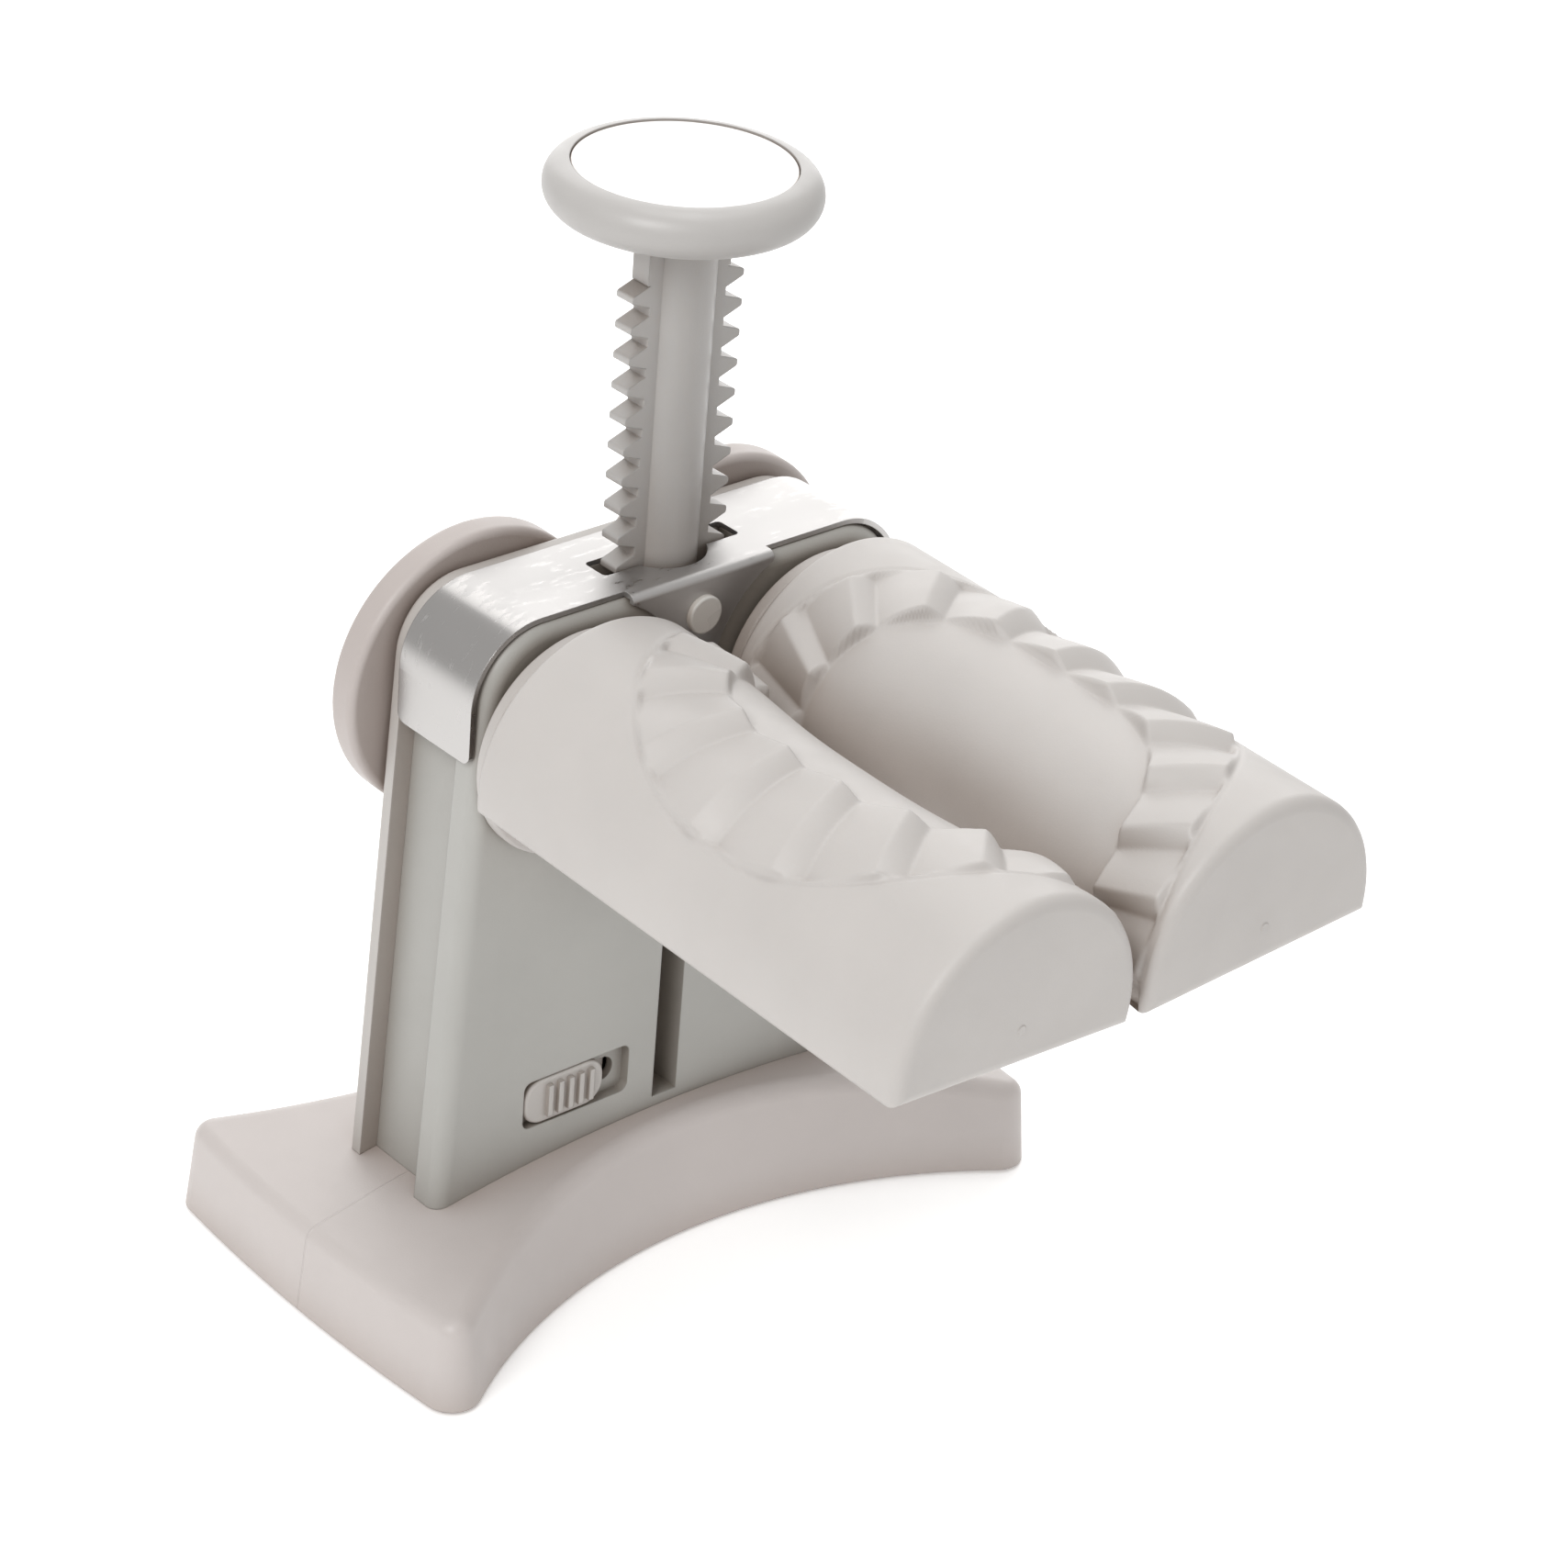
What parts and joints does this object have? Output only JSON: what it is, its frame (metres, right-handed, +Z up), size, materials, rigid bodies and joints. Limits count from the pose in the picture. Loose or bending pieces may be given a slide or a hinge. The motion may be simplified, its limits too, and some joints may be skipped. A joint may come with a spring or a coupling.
{
  "type": "dumpling press",
  "caption": "Hand press for round wrappers: a sprung push button on a double rack turns two half-round moulds with pleated rims inwards, on a waisted foot.",
  "frame": {"origin": "on the table plane, straight below the plunger's axis", "axes": "+Z up along the plunger, -Y to the front where the moulds stand out, +X to the right; the roller axes fall 1.5 degrees towards the front"},
  "size_m": [0.1218, 0.1405, 0.1729],
  "materials": {
    "body_plastic": "satin, fine texture",
    "mould_plastic": "satin, food grade",
    "rack_plastic": "satin, slightly translucent",
    "bearing_plastic": "smooth",
    "inlay_plastic": "smooth",
    "strap_steel": "polished, fine brush marks",
    "fastener_steel": "plain zinc plated",
    "feet_rubber": "matte"
  },
  "bodies": {
    "frame": {"base": "body_plastic", "base_plate": "body_plastic", "anti_slip_feet": "feet_rubber", "base_screws": "fastener_steel", "housing_screws": "fastener_steel", "front_housing": "body_plastic", "rear_cover": "body_plastic", "cover_screws": "fastener_steel", "top_strap": "strap_steel", "strap_peg": "body_plastic", "return_spring": "fastener_steel", "spring_post": "body_plastic", "left_front_bush": "bearing_plastic", "right_front_bush": "bearing_plastic", "left_rear_bush": "bearing_plastic", "right_rear_bush": "bearing_plastic", "lock_guide": "body_plastic"},
    "plunger": {"plunger_rack": "rack_plastic", "push_button": "body_plastic", "button_screw": "fastener_steel", "button_inlay": "inlay_plastic"},
    "left_roller": {"left_pinion": "bearing_plastic", "left_shaft": "fastener_steel", "left_mould": "mould_plastic", "left_mould_plate": "mould_plastic", "left_drive_ring": "body_plastic", "left_rear_disc": "body_plastic", "left_disc_screw": "fastener_steel"},
    "right_roller": {"right_pinion": "bearing_plastic", "right_shaft": "fastener_steel", "right_mould": "mould_plastic", "right_mould_plate": "mould_plastic", "right_drive_ring": "body_plastic", "right_rear_disc": "body_plastic", "right_disc_screw": "fastener_steel"},
    "lock_slider": {"lock_button": "body_plastic", "lock_plate": "body_plastic"}
  },
  "joints": [
    {"name": "plunger_press", "type": "slide", "parent": "frame", "child": "plunger", "axis": [0, 0, -1], "range_m": [0, 0.03357], "stiffness_N_per_m": 200, "springref_m": -0.02, "deforming": ["return_spring"]},
    {"name": "left_mould_turn", "type": "hinge", "parent": "frame", "child": "left_roller", "pos_m": [-0.023, -0.0008, 0.093], "axis": [0, 0.9997, 0.0262], "range_deg": [0, 135]},
    {"name": "right_mould_turn", "type": "hinge", "parent": "frame", "child": "right_roller", "pos_m": [0.023, -0.0008, 0.093], "axis": [0, -0.9997, -0.0262], "range_deg": [0, 135]},
    {"name": "lock_slide", "type": "slide", "parent": "frame", "child": "lock_slider", "axis": [1, 0, 0], "range_m": [0, 0.0045]}
  ],
  "couplings": [
    {"joint": "left_mould_turn", "follows": "plunger_press", "rad_per_m": 70.175},
    {"joint": "right_mould_turn", "follows": "plunger_press", "rad_per_m": 70.175}
  ]
}
